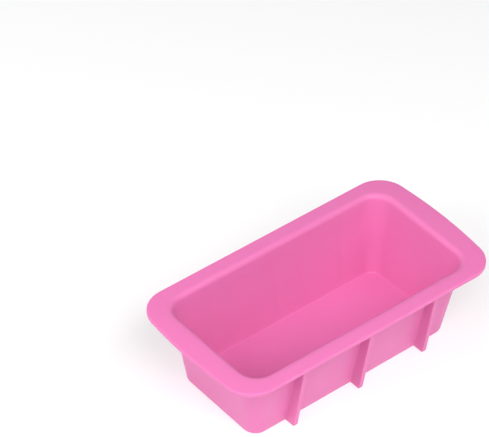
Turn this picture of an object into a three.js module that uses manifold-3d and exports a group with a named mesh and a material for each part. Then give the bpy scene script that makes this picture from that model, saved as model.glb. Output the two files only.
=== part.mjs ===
// Soap loaf mould: an open loaf-shaped tray in soft silicone rubber, with a flat rim round its mouth
// and three plate ribs standing on each long side. Millimetres. +X runs along the loaf, +Z is up,
// and the origin is the centre of the underside, which lies on z = 0.
import * as THREE from 'three';
import { ConvexGeometry } from 'three/addons/geometries/ConvexGeometry.js';
import { mergeVertices } from 'three/addons/utils/BufferGeometryUtils.js';
import Module from 'manifold-3d';

const wasm = await Module();
wasm.setup();

// ---------------------------------------------------------------- driving dimensions

const mouldHeight = 72;

const rimThickness = 3.6;
const rimSideLength = 245; // end to end at the rim's corners, where the ends aren't bowed yet
const rimWidth = 134.5;
const rimCornerRadius = 24.5;
const rimEndBow = 5; // how far the middle of each end stands out past its corners
const rimEdgeRadius = 1.2;

const baseLength = 195.4; // outer faces of the walls, carried down to the underside
const baseWidth = 86.7;
const baseCornerRadius = 11;
const baseEdgeRadius = 2.5;
const wallDraft = 0.155; // outward lean of all four walls, per unit of height
const cornerGrowth = 0.095; // growth of the upright corners' radius, per unit of height

const wallThickness = 1.8; // measured level
const floorThickness = 2;
const floorFilletRadius = 1.5;
const mouthRadius = 5; // rolled edge where the walls turn out into the rim

const ribCount = 3;
const ribSpacing = 65;
const ribThickness = 4;
const ribReachAtFoot = 52.6; // from the loaf's centre plane to the rib's outer edge
const ribLean = 0.145;
const ribEdgeRadius = 0.8;
const ribToeRadius = 1.5;
const jointGap = 0.3; // kept between a rib and the wall and rim that it meets

const cornerSegments = 5; // half the segments of one quarter round
const roundSegments = 4; // steps up a rounded edge in section

const siliconePink = 0xe97fb6;
const siliconeRoughness = 0.5;

// ---------------------------------------------------------------- outlines seen from above

// Rectangle with round corners and straight ends.
function straightOutline(length, width, radius) {
  const cornerX = length / 2 - radius;
  const cornerY = width / 2 - radius;
  const quarter = Math.PI / 2;
  const shape = new THREE.Shape();
  shape.absarc(cornerX, cornerY, radius, 0, quarter);
  shape.absarc(-cornerX, cornerY, radius, quarter, 2 * quarter);
  shape.absarc(-cornerX, -cornerY, radius, 2 * quarter, 3 * quarter);
  shape.absarc(cornerX, -cornerY, radius, 3 * quarter, 4 * quarter);
  return shape.getPoints(cornerSegments);
}

// Rectangle with round corners whose two ends are shallow arcs that stand out by the bow.
// The corner arcs touch both the straight sides and the end arcs.
function bowedOutline(length, width, radius, bow) {
  const halfWidth = width / 2;
  const endRadius = (halfWidth ** 2 + bow ** 2) / (2 * bow);
  const endCentre = length / 2 + bow - endRadius;
  const cornerY = halfWidth - radius;
  const cornerX = endCentre + Math.sqrt((endRadius - radius) ** 2 - cornerY ** 2);
  const turn = Math.asin(cornerY / (endRadius - radius));
  const quarter = Math.PI / 2;
  const half = Math.PI;
  const shape = new THREE.Shape();
  shape.absarc(endCentre, 0, endRadius, -turn, turn);
  shape.absarc(cornerX, cornerY, radius, turn, quarter);
  shape.absarc(-cornerX, cornerY, radius, quarter, half - turn);
  shape.absarc(-endCentre, 0, endRadius, half - turn, half + turn);
  shape.absarc(-cornerX, -cornerY, radius, half + turn, half + quarter);
  shape.absarc(cornerX, -cornerY, radius, half + quarter, 2 * half - turn);
  return shape.getPoints(cornerSegments);
}

function atHeight(outline, height) {
  return outline.map((point) => new THREE.Vector3(point.x, point.y, height));
}

// The four walls' outline at a height, moved out (or in, when negative) by an offset.
function wallOutline(height, offset) {
  const grown = 2 * (wallDraft * height + offset);
  const radius = baseCornerRadius + cornerGrowth * height + offset;
  return atHeight(straightOutline(baseLength + grown, baseWidth + grown, radius), height);
}

// ---------------------------------------------------------------- rounded edges in section

const slope = Math.hypot(1, wallDraft);

// Round between a level bottom and the leaning wall above it: steps of height above the bottom,
// and of distance out from the wall's own line.
function footRound(radius) {
  const steps = [];
  const lastAngle = Math.atan(1 / wallDraft);
  for (let i = 0; i <= roundSegments; i++) {
    const angle = (lastAngle * i) / roundSegments;
    const height = radius * (1 - Math.cos(angle));
    const out = radius * (Math.sin(angle) + wallDraft - slope) - wallDraft * height;
    steps.push({ height, out });
  }
  return steps;
}

// Round between the leaning wall and the level face of the rim: steps of depth below the rim's
// face, and of distance out from the wall's own line.
function mouthRound(radius) {
  const steps = [];
  const firstAngle = Math.atan(wallDraft);
  for (let i = 0; i <= roundSegments; i++) {
    const angle = firstAngle + ((Math.PI / 2 - firstAngle) * i) / roundSegments;
    const depth = radius * (1 - Math.sin(angle));
    const out = radius * (slope - Math.cos(angle) - wallDraft * Math.sin(angle));
    steps.push({ depth, out });
  }
  return steps;
}

// ---------------------------------------------------------------- solids

function solidFrom(geometry) {
  geometry.deleteAttribute('normal');
  geometry.deleteAttribute('uv');
  const merged = mergeVertices(geometry);
  const mesh = new wasm.Mesh({
    numProp: 3,
    vertProperties: new Float32Array(merged.attributes.position.array),
    triVerts: new Uint32Array(merged.index.array),
  });
  return new wasm.Manifold(mesh);
}

function geometryFrom(solid) {
  const mesh = solid.getMesh();
  const geometry = new THREE.BufferGeometry();
  geometry.setAttribute('position', new THREE.BufferAttribute(mesh.vertProperties, 3));
  geometry.setIndex(new THREE.BufferAttribute(mesh.triVerts, 1));
  geometry.computeVertexNormals();
  return geometry;
}

function hullSolid(outlines) {
  return solidFrom(new ConvexGeometry(outlines.flat()));
}

const rimUnderside = mouldHeight - rimThickness;
const cavityTop = mouldHeight + 1;

// The walls' outer form from the underside up to a height, grown outwards and downwards by a
// clearance.
function wallBlock(top, clearance) {
  const outlines = [];
  for (const step of footRound(baseEdgeRadius)) {
    outlines.push(wallOutline(step.height, step.out + clearance));
  }
  outlines.push(atHeight(outlines[0], -clearance));
  outlines.push(wallOutline(top, clearance));
  return hullSolid(outlines);
}

// The space inside the loaf: the drafted hollow with its rounded floor edge, then the mouth, which
// flares in steps up to the rim's face.
function cavitySolid() {
  const outlines = [];
  for (const step of footRound(floorFilletRadius)) {
    outlines.push(wallOutline(floorThickness + step.height, step.out - wallThickness));
  }
  const mouth = mouthRound(mouthRadius).map((step) => {
    return wallOutline(mouldHeight - step.depth, step.out - wallThickness);
  });
  outlines.push(mouth[0]);
  let cavity = hullSolid(outlines);
  for (let i = 1; i < mouth.length; i++) {
    cavity = cavity.add(hullSolid([mouth[i - 1], mouth[i]]));
  }
  const lastFlare = mouth[mouth.length - 1];
  return cavity.add(hullSolid([lastFlare, atHeight(lastFlare, cavityTop)]));
}

// The rim before its opening is cut: a flat plate with both outer edges rounded.
function rimPlate() {
  const outlines = [];
  for (let i = 0; i <= roundSegments; i++) {
    const angle = (Math.PI / 2) * (i / roundSegments);
    const inset = 2 * rimEdgeRadius * (1 - Math.sin(angle));
    const rise = rimEdgeRadius * (1 - Math.cos(angle));
    const radius = rimCornerRadius - inset / 2;
    const outline = bowedOutline(rimSideLength - inset, rimWidth - inset, radius, rimEndBow);
    outlines.push(atHeight(outline, rimUnderside + rise));
    outlines.push(atHeight(outline, mouldHeight - rise));
  }
  return hullSolid(outlines);
}

// One plate rib for the front side, centred on x = 0: it stands on the underside's plane, follows
// the lean of the wall behind it and stops just under the rim.
function ribSolid() {
  const top = rimUnderside - jointGap;
  const root = baseWidth / 2 - baseEdgeRadius - wallThickness;
  const bevel = ribEdgeRadius;
  const shape = new THREE.Shape();
  shape.moveTo(root, bevel);
  shape.lineTo(ribReachAtFoot - bevel - ribToeRadius, bevel);
  shape.quadraticCurveTo(
    ribReachAtFoot - bevel, bevel,
    ribReachAtFoot - bevel + ribLean * ribToeRadius, bevel + ribToeRadius,
  );
  shape.lineTo(ribReachAtFoot - bevel + ribLean * top, top - bevel);
  shape.lineTo(root, top - bevel);
  const plate = new THREE.ExtrudeGeometry(shape, {
    depth: ribThickness - 2 * bevel,
    bevelEnabled: true,
    bevelThickness: bevel,
    bevelSize: bevel,
    bevelSegments: 2,
    curveSegments: 3,
  });
  plate.translate(0, 0, bevel - ribThickness / 2);
  plate.rotateX(Math.PI / 2);
  plate.rotateZ(-Math.PI / 2);
  return solidFrom(plate).subtract(wallBlock(mouldHeight, jointGap));
}

// ---------------------------------------------------------------- the assembly

function siliconeMaterial() {
  return new THREE.MeshStandardMaterial({
    color: siliconePink,
    roughness: siliconeRoughness,
    metalness: 0,
  });
}

function namedMesh(name, geometry) {
  const mesh = new THREE.Mesh(geometry, siliconeMaterial());
  mesh.name = name;
  return mesh;
}

const mould = new THREE.Group();
const cavity = cavitySolid();

mould.add(namedMesh('mould_tray', geometryFrom(wallBlock(rimUnderside, 0).subtract(cavity))));
mould.add(namedMesh('rim_flange', geometryFrom(rimPlate().subtract(cavity))));

const ribGeometry = geometryFrom(ribSolid());
const ribPlaces = ['left', 'middle', 'right'];

for (let i = 0; i < ribCount; i++) {
  const offset = (i - (ribCount - 1) / 2) * ribSpacing;
  const frontRib = namedMesh(`front_rib_${ribPlaces[i]}`, ribGeometry);
  frontRib.position.x = offset;
  const backRib = namedMesh(`back_rib_${ribPlaces[i]}`, ribGeometry);
  backRib.position.x = offset;
  backRib.rotation.z = Math.PI;
  mould.add(frontRib, backRib);
}

export default mould;
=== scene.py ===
"""A soap loaf mould in light pink silicone rubber, standing on a pale floor under soft light."""

import math

import bmesh
import bpy
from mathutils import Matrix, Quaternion, Vector


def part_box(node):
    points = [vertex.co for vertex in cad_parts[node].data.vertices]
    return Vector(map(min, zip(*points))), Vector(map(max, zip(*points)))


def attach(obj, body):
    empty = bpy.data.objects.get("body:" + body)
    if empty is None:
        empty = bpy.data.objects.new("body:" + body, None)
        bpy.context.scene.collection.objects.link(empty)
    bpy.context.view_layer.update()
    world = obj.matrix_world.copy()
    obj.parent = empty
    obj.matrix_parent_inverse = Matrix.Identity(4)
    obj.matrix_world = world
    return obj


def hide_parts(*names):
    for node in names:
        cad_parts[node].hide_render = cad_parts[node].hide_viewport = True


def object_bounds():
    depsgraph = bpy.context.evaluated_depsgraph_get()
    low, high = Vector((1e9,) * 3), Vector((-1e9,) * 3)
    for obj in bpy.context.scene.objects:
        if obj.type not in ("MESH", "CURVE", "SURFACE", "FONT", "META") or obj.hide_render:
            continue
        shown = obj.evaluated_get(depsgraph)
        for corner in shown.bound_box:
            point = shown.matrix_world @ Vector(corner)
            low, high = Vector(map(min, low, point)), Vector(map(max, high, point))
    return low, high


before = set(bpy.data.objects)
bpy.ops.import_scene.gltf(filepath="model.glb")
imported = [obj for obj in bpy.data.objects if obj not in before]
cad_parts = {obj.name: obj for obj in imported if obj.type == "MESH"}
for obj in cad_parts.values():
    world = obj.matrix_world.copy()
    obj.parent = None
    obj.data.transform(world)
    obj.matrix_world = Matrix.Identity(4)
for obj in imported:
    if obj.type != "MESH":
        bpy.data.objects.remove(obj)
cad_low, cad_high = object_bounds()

MM = 0.001

# ------------------------------------------------------------------------------- camera
# A long lens looking down over the mould's near left corner. The mould stands right of and
# below the middle of the view, and the horizon is tipped by a small roll.

LENS_MM = 221.4
SENSOR_MM = 36.0
CAMERA_AZIMUTH = math.radians(-42.21)
CAMERA_ELEVATION = math.radians(43.2)
CAMERA_ROLL = math.radians(2.74)
CAMERA_DISTANCE = 2.309
PAN = math.radians(1.373)
TILT = math.radians(1.882)
NEAREST_SEEN = 0.05
FARTHEST_SEEN = 50

mould_middle = (cad_low + cad_high) / 2
towards_camera = Vector((
    math.sin(CAMERA_AZIMUTH) * math.cos(CAMERA_ELEVATION),
    -math.cos(CAMERA_AZIMUTH) * math.cos(CAMERA_ELEVATION),
    math.sin(CAMERA_ELEVATION),
))

camera = bpy.data.objects.new("camera", bpy.data.cameras.new("camera"))
camera.data.lens = LENS_MM
camera.data.sensor_width = SENSOR_MM
camera.data.clip_start = NEAREST_SEEN
camera.data.clip_end = FARTHEST_SEEN
level_view = (-towards_camera).to_track_quat("-Z", "Y")
rolled = Quaternion((0, 0, 1), CAMERA_ROLL)
line_to_mould = Vector((math.tan(PAN), -math.tan(TILT), -1))
off_centre = line_to_mould.rotation_difference(Vector((0, 0, -1)))
camera.rotation_mode = "QUATERNION"
camera.rotation_quaternion = level_view @ rolled @ off_centre
camera.location = mould_middle + towards_camera * CAMERA_DISTANCE
bpy.context.collection.objects.link(camera)
bpy.context.scene.camera = camera

# ------------------------------------------------------------------------------- silicone
# Platinum-cured silicone rubber, coloured through with light pink pigment. It comes out of a
# bead-blasted steel tool, so it is satin, slightly cloudy, and a little light runs inside it.

PINK_MAIN = (0.715, 0.177, 0.422, 1)
PINK_DEEP = (0.69, 0.162, 0.40, 1)
SILICONE_IOR = 1.41
SCATTER_SHARE = 0.25
SCATTER_DEPTH = 1.6 * MM
SCATTER_REACH = (1.0, 0.35, 0.55)
BLOOM = 0.06
BLOOM_ROUGHNESS = 0.5
GLOSSIEST = 0.40
DULLEST = 0.56
CLOUD_SCALE = 28
CLOUD_DETAIL = 3
GRAIN_SCALE = 1500
GRAIN_DETAIL = 2
GRAIN_STRENGTH = 0.12
GRAIN_DEPTH = 0.05 * MM
RIPPLE_SCALE = 55
RIPPLE_DETAIL = 1
RIPPLE_STRENGTH = 0.5
RIPPLE_DEPTH = 0.12 * MM


def silicone(name):
    """The moulding's rubber, with its cloudiness centred on the mould."""
    material = bpy.data.materials.new(name)
    material.use_nodes = True
    nodes, links = material.node_tree.nodes, material.node_tree.links
    shader = nodes["Principled BSDF"]
    shader.inputs["IOR"].default_value = SILICONE_IOR
    shader.inputs["Subsurface Weight"].default_value = SCATTER_SHARE
    shader.inputs["Subsurface Radius"].default_value = SCATTER_REACH
    shader.inputs["Subsurface Scale"].default_value = SCATTER_DEPTH
    shader.inputs["Sheen Weight"].default_value = BLOOM
    shader.inputs["Sheen Roughness"].default_value = BLOOM_ROUGHNESS

    where = nodes.new("ShaderNodeTexCoord")
    place = nodes.new("ShaderNodeMapping")
    place.inputs["Location"].default_value = -mould_middle
    links.new(where.outputs["Object"], place.inputs["Vector"])

    cloud = nodes.new("ShaderNodeTexNoise")
    cloud.inputs["Scale"].default_value = CLOUD_SCALE
    cloud.inputs["Detail"].default_value = CLOUD_DETAIL
    tone = nodes.new("ShaderNodeMix")
    tone.data_type = "RGBA"
    tone.inputs["A"].default_value = PINK_MAIN
    tone.inputs["B"].default_value = PINK_DEEP
    links.new(place.outputs["Vector"], cloud.inputs["Vector"])
    links.new(cloud.outputs["Fac"], tone.inputs["Factor"])
    links.new(tone.outputs["Result"], shader.inputs["Base Color"])

    satin = nodes.new("ShaderNodeMapRange")
    satin.inputs["To Min"].default_value = GLOSSIEST
    satin.inputs["To Max"].default_value = DULLEST
    links.new(cloud.outputs["Fac"], satin.inputs["Value"])
    links.new(satin.outputs["Result"], shader.inputs["Roughness"])

    grain = nodes.new("ShaderNodeTexNoise")
    grain.inputs["Scale"].default_value = GRAIN_SCALE
    grain.inputs["Detail"].default_value = GRAIN_DETAIL
    ripple = nodes.new("ShaderNodeTexNoise")
    ripple.inputs["Scale"].default_value = RIPPLE_SCALE
    ripple.inputs["Detail"].default_value = RIPPLE_DETAIL
    links.new(place.outputs["Vector"], grain.inputs["Vector"])
    links.new(place.outputs["Vector"], ripple.inputs["Vector"])
    fine = nodes.new("ShaderNodeBump")
    fine.inputs["Strength"].default_value = GRAIN_STRENGTH
    fine.inputs["Distance"].default_value = GRAIN_DEPTH
    broad = nodes.new("ShaderNodeBump")
    broad.inputs["Strength"].default_value = RIPPLE_STRENGTH
    broad.inputs["Distance"].default_value = RIPPLE_DEPTH
    links.new(ripple.outputs["Fac"], broad.inputs["Height"])
    links.new(grain.outputs["Fac"], fine.inputs["Height"])
    links.new(broad.outputs["Normal"], fine.inputs["Normal"])
    links.new(fine.outputs["Normal"], shader.inputs["Normal"])
    return material


# ------------------------------------------------------------------------------- loaf tray
# The floor and the four leaning walls that hold the soap, about two millimetres thick, turned
# out at the mouth in a soft roll. It is moulded in one shot with the rim and the ribs.

WALL_DRAFT = 0.155
CORNER_AT_FOOT = 11 * MM
CORNER_GROWTH = 0.095
WALL_THICKNESS = 1.8 * MM
FLOOR_THICKNESS = 2 * MM
FOOT_ROUND = 2.5 * MM
FLOOR_ROUND = 0.8 * MM
MOUTH_ROUND = 5 * MM
LIP_FLAT = 0.8 * MM
LEVEL_MARGIN = 2 * MM
SMALLEST_CORNER = 0.5 * MM
AS_GOOD_AS_LEVEL = 0.001
APART = 20 * MM
CORNER_STEPS = 12
SIDE_CUTS = 79
END_CUTS = 19
WALL_STEPS = 9
ROUND_STEPS = 8
SINK_DEPTH = 0.4 * MM
SINK_REACH = 3.5 * MM
HANG_DROP = 1.2 * MM
HANG_REACH = 45 * MM
SWELL_OUT = 0.8 * MM
SWELL_AT = 20 * MM
SWELL_REACH = 45 * MM
MERGE_WITHIN = 0.001 * MM
SHARP_ANGLE = math.radians(40)

FRONT_RIBS = ("front_rib_left", "front_rib_middle", "front_rib_right")

tray_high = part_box("mould_tray")[1]
rim_low, rim_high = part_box("rim_flange")
slope = math.hypot(1, WALL_DRAFT)


def ring(bm, half_length, half_width, radius, height):
    """A level ring of edges: a rectangle with round corners and evenly cut sides."""
    others = set(bm.edges)
    corners = bmesh.ops.create_grid(bm, x_segments=1, y_segments=1, size=1)["verts"]
    bmesh.ops.scale(bm, vec=(half_length, half_width, 1), verts=corners)
    bmesh.ops.translate(bm, vec=(0, 0, height), verts=corners)
    rounded = bmesh.ops.bevel(
        bm, geom=corners, affect="VERTICES", offset=radius,
        segments=CORNER_STEPS, profile=0.5, material=-1,
    )
    sheet = rounded["verts"][0].link_faces[0]
    level = radius * AS_GOOD_AS_LEVEL
    sides = [e for e in sheet.edges if abs(e.verts[0].co.y - e.verts[1].co.y) < level]
    ends = [e for e in sheet.edges if abs(e.verts[0].co.x - e.verts[1].co.x) < level]
    bmesh.ops.delete(bm, geom=[sheet], context="FACES_ONLY")
    bmesh.ops.subdivide_edges(bm, edges=sides, cuts=SIDE_CUTS)
    bmesh.ops.subdivide_edges(bm, edges=ends, cuts=END_CUTS)
    return [edge for edge in bm.edges if edge not in others]


def wall_ring(bm, height, offset):
    """A ring round the walls' outer face at a height, moved outwards by an offset."""
    drop = WALL_DRAFT * (tray_high.z - height)
    radius = max(CORNER_AT_FOOT + CORNER_GROWTH * height + offset, SMALLEST_CORNER)
    return ring(bm, tray_high.x - drop + offset, tray_high.y - drop + offset, radius, height)


def foot_steps(radius):
    """A round between a level bottom and the leaning wall: (height, offset) pairs."""
    last = math.atan(1 / WALL_DRAFT)
    for i in range(ROUND_STEPS + 1):
        angle = last * i / ROUND_STEPS
        height = radius * (1 - math.cos(angle))
        yield height, radius * (math.sin(angle) + WALL_DRAFT - slope) - WALL_DRAFT * height


def mouth_steps(radius):
    """A round from the leaning wall out to the rim's level top: (depth, offset) pairs."""
    first = math.atan(WALL_DRAFT)
    for i in range(ROUND_STEPS + 1):
        angle = first + (math.pi / 2 - first) * i / ROUND_STEPS
        depth = radius * (1 - math.sin(angle))
        yield depth, radius * (slope - math.cos(angle) - WALL_DRAFT * math.sin(angle))


def skin_over(bm, rings, closed=False):
    """Bridges each ring to the next, and the last to the first if the skin closes on itself.
    The rings are drawn apart in height meanwhile, because two rings at one height have no order."""
    stations = [list({vert for edge in edges for vert in edge.verts}) for edges in rings]
    for step, verts in enumerate(stations):
        bmesh.ops.translate(bm, vec=(0, 0, step * APART), verts=verts)
    upper_rings = rings[1:] + rings[:1] if closed else rings[1:]
    for lower, upper in zip(rings, upper_rings):
        bmesh.ops.bridge_loops(bm, edges=lower + upper)
    for step, verts in enumerate(stations):
        bmesh.ops.translate(bm, vec=(0, 0, -step * APART), verts=verts)


def finished(name, bm, material):
    """Turns a bmesh into a smooth-shaded object with its normals out."""
    bmesh.ops.remove_doubles(bm, verts=bm.verts, dist=MERGE_WITHIN)
    bmesh.ops.recalc_face_normals(bm, faces=bm.faces)
    mesh = bpy.data.meshes.new(name)
    bm.to_mesh(mesh)
    bm.free()
    mesh.materials.append(material)
    mesh.shade_smooth()
    mesh.set_sharp_from_angle(angle=SHARP_ANGLE)
    piece = bpy.data.objects.new(name, mesh)
    bpy.context.collection.objects.link(piece)
    return piece


def settle(bm):
    """Soft rubber never stands quite true: the near right corner hangs and the near side swells."""
    for vert in bm.verts:
        raised = vert.co.z / rim_high.z
        from_corner = (vert.co.xy - Vector((rim_high.x, rim_low.y))).length
        near = max(vert.co.y / rim_low.y, 0)
        swelling = math.exp(-(((vert.co.x - SWELL_AT) / SWELL_REACH) ** 2))
        vert.co.z -= HANG_DROP * raised * math.exp(-((from_corner / HANG_REACH) ** 2))
        vert.co.y -= SWELL_OUT * raised * near * swelling


def between(start, stop, steps):
    """Evenly spaced heights between two, leaving both out."""
    return [start + (stop - start) * i / steps for i in range(1, steps)]


bm = bmesh.new()
outside = list(foot_steps(FOOT_ROUND))
outside.insert(0, (0, outside[0][1] - LEVEL_MARGIN))
outside += [(height, 0) for height in between(outside[-1][0], tray_high.z, WALL_STEPS)]
outside.append((tray_high.z, 0))
mouth = [
    (rim_high.z - depth, offset - WALL_THICKNESS)
    for depth, offset in mouth_steps(MOUTH_ROUND)
]
mouth.append((rim_high.z, mouth[-1][1] + LIP_FLAT))
inside = [
    (FLOOR_THICKNESS + height, offset - WALL_THICKNESS)
    for height, offset in foot_steps(FLOOR_ROUND)
]
inside.insert(0, (FLOOR_THICKNESS, inside[0][1] - LEVEL_MARGIN))
inside += [(h, -WALL_THICKNESS) for h in between(inside[-1][0], mouth[0][0], WALL_STEPS)]
profile = outside + mouth[::-1] + inside[::-1]
rings = [wall_ring(bm, height, offset) for height, offset in profile]
skin_over(bm, rings)
bmesh.ops.edgeloop_fill(bm, edges=rings[0])
bmesh.ops.edgeloop_fill(bm, edges=rings[-1])
rib_places = [(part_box(node)[0].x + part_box(node)[1].x) / 2 for node in FRONT_RIBS]
for vert in {vert for edges in rings[-len(inside):] for edge in edges for vert in edge.verts}:
    sink = SINK_DEPTH * sum(
        math.exp(-(((vert.co.x - place) / SINK_REACH) ** 2)) for place in rib_places
    )
    vert.co.y += math.copysign(sink, vert.co.y)
settle(bm)
tray = finished("loaf_tray", bm, silicone("tray_silicone"))
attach(tray, "root")
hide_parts("mould_tray")

# ------------------------------------------------------------------------------- rim flange
# The flat rim that stiffens the mouth and gives the fingers a hold. Its ends are bowed outwards
# and its outer edge is softly rounded above and below. It runs into the tray's rolled mouth.

RIM_CORNER = 24.6 * MM
RIM_EDGE_ROUND = 1.2 * MM
RIM_END_BOW = 2.05 * MM


def rim_ring(bm, inset, height):
    """A ring round the rim's outer edge, whose ends bulge between the corners."""
    half_width = rim_high.y - inset
    radius = RIM_CORNER - inset
    edges = ring(bm, rim_high.x - RIM_END_BOW - inset, half_width, radius, height)
    straight = half_width - radius
    for vert in {vert for edge in edges for vert in edge.verts}:
        if abs(vert.co.y) < straight and abs(vert.co.x) > half_width:
            bulge = RIM_END_BOW * (1 - (vert.co.y / straight) ** 2)
            vert.co.x += math.copysign(bulge, vert.co.x)
    return edges


bm = bmesh.new()
edge_steps = []
for i in range(ROUND_STEPS + 1):
    angle = math.pi / 2 * i / ROUND_STEPS
    inset = RIM_EDGE_ROUND * (1 - math.sin(angle))
    edge_steps.append((inset, RIM_EDGE_ROUND * (1 - math.cos(angle))))
rings = [wall_ring(bm, *mouth[-1])]
rings += [rim_ring(bm, inset, rim_high.z - drop) for inset, drop in edge_steps]
rings += [rim_ring(bm, inset, rim_low.z + rise) for inset, rise in edge_steps[::-1]]
rings.append(wall_ring(bm, tray_high.z, 0))
skin_over(bm, rings, closed=True)
settle(bm)
rim = finished("rim_flange_skin", bm, silicone("rim_silicone"))
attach(rim, "root")
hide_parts("rim_flange")

# ------------------------------------------------------------------------------- side ribs
# Three plate ribs on each long side keep the soft wall from bowing when the mould is full. Each
# stands on the floor, leans with the wall and meets it in a small fillet, and ends under the rim.
# The near three stand a little to the right of even spacing.

NEAR_RIBS_ASIDE = 1.3 * MM
RIB_FILLET = 1.0 * MM
RIB_EDGE_ROUND = 0.7 * MM
RIB_LEAN = 0.145
RIB_ROOT_DEPTH = 1.2 * MM
RIB_HEEL_DEPTH = 2.6 * MM
RIB_HEEL_HEIGHT = 3 * MM
RIB_TOE_HEIGHT = 1.0 * MM
RIB_TOE_CUT = 0.35 * MM
RIB_FOOT_ROUND = 0.3 * MM
RIB_FOOT_STEPS = 3
RIB_ROUND_STEPS = 5
HIDDEN_OVERLAP = 0.05 * MM


def rib(name, node, material):
    """One rib in its CAD node's place: a T-shaped section drawn on the floor, raised leaning."""
    low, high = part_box(node)
    side = math.copysign(1, low.y + high.y)
    middle = (low.x + high.x) / 2 + (NEAR_RIBS_ASIDE if side < 0 else 0)
    half = (high.x - low.x) / 2
    reach = max(abs(low.y), abs(high.y)) - RIB_LEAN * high.z
    wall = tray_high.y - WALL_DRAFT * tray_high.z - HIDDEN_OVERLAP
    root = wall - RIB_ROOT_DEPTH
    wide = half + RIB_FILLET
    outline = [
        (-wide, root), (-wide, wall), (-half, wall), (-half, reach),
        (half, reach), (half, wall), (wide, wall), (wide, root),
    ]
    bm = bmesh.new()
    points = [bm.verts.new((middle + x, side * y, 0)) for x, y in outline]
    bm.faces.new(points)
    bmesh.ops.bevel(
        bm, geom=[points[2], points[5]], affect="VERTICES", offset=RIB_FILLET,
        segments=RIB_ROUND_STEPS, profile=0.5, material=-1,
    )
    tips = [vert for vert in bm.verts if abs(vert.co.y) > reach - HIDDEN_OVERLAP]
    bmesh.ops.bevel(
        bm, geom=tips, affect="VERTICES", offset=RIB_EDGE_ROUND,
        segments=RIB_ROUND_STEPS, profile=0.5, material=-1,
    )
    foot = max(bm.faces, key=lambda face: len(face.verts))
    cap, below = foot, 0
    for level in (RIB_TOE_HEIGHT, RIB_HEEL_HEIGHT, rim_low.z + HIDDEN_OVERLAP):
        raised = bmesh.ops.extrude_face_region(bm, geom=[cap])["geom"]
        if cap is not foot:
            bmesh.ops.delete(bm, geom=[cap], context="FACES_ONLY")
        cap = next(part for part in raised if isinstance(part, bmesh.types.BMFace))
        rise = level - below
        bmesh.ops.translate(bm, vec=(0, side * WALL_DRAFT * rise, rise), verts=cap.verts)
        below = level
    # The plate leans a little less than the wall, its toe is cut back and its heel tucks in.
    for vert in bm.verts:
        past_wall = abs(vert.co.y) - wall - WALL_DRAFT * vert.co.z
        if past_wall > RIB_FILLET + HIDDEN_OVERLAP:
            vert.co.y -= side * (WALL_DRAFT - RIB_LEAN) * vert.co.z
            if vert.co.z == 0:
                vert.co.y -= side * RIB_TOE_CUT
        elif vert.co.z == 0:
            tucked = 1 - max(past_wall, 0) / (RIB_FILLET + HIDDEN_OVERLAP)
            vert.co.y -= side * RIB_HEEL_DEPTH * tucked
    bmesh.ops.bevel(
        bm, geom=list(foot.edges), affect="EDGES", offset=RIB_FOOT_ROUND,
        segments=RIB_FOOT_STEPS, profile=0.5, material=-1,
    )
    settle(bm)
    return finished(name, bm, material)


rib_silicone = silicone("rib_silicone")
for side in ("front", "back"):
    for place in ("left", "middle", "right"):
        node = f"{side}_rib_{place}"
        piece = rib(f"{node}_skin", node, rib_silicone)
        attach(piece, "root")
        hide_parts(node)

# ------------------------------------------------------------------------------- floor and light
# A plain white floor that glows a little, so that it stays white behind the mould, and soft
# boxes round the mould: the strongest stand in front and at the left, the weakest behind.

FLOOR_HALF = 4.0
FLOOR_PALE = (0.5, 0.5, 0.5, 1)
FLOOR_ROUGHNESS = 0.8
FLOOR_SHINE = 0.2
FLOOR_GLOW = 0.47
PURE_WHITE = (1, 1, 1, 1)
SURROUND = 0.12
LIGHT_DISTANCE = 1.6

bm = bmesh.new()
bmesh.ops.create_grid(bm, x_segments=1, y_segments=1, size=FLOOR_HALF)
floor_paint = bpy.data.materials.new("floor_paint")
floor_paint.use_nodes = True
floor_shader = floor_paint.node_tree.nodes["Principled BSDF"]
floor_shader.inputs["Base Color"].default_value = FLOOR_PALE
floor_shader.inputs["Roughness"].default_value = FLOOR_ROUGHNESS
floor_shader.inputs["Specular IOR Level"].default_value = FLOOR_SHINE
floor_shader.inputs["Emission Color"].default_value = PURE_WHITE
floor_shader.inputs["Emission Strength"].default_value = FLOOR_GLOW
floor = finished("floor", bm, floor_paint)

world = bpy.data.worlds.new("studio")
world.use_nodes = True
surroundings = world.node_tree.nodes["Background"]
surroundings.inputs["Color"].default_value = PURE_WHITE
surroundings.inputs["Strength"].default_value = SURROUND
bpy.context.scene.world = world


def softbox(name, azimuth, elevation, size, watts):
    """A square studio light aimed at the mould, placed by its bearing and its height in degrees."""
    light = bpy.data.lights.new(name, "AREA")
    light.size = size
    light.energy = watts
    turn, lift = math.radians(azimuth), math.radians(elevation)
    bearing = Vector((
        math.sin(turn) * math.cos(lift),
        -math.cos(turn) * math.cos(lift),
        math.sin(lift),
    ))
    lamp = bpy.data.objects.new(name, light)
    lamp.location = mould_middle + bearing * LIGHT_DISTANCE
    lamp.rotation_euler = (-bearing).to_track_quat("-Z", "Y").to_euler()
    lamp.visible_camera = False
    bpy.context.collection.objects.link(lamp)


softbox("front_high_light", -12, 51, 0.9, 14.6)
softbox("camera_side_light", -42, 50, 0.6, 6)
softbox("front_low_light", 5, 30, 0.8, 4.5)
softbox("left_light", -92, 35, 0.8, 12)
softbox("left_back_light", -135, 45, 0.8, 4.5)
softbox("right_front_light", 45, 50, 0.8, 4)
softbox("back_light", -170, 20, 0.8, 3)
bpy.context.scene.view_settings.view_transform = "Standard"
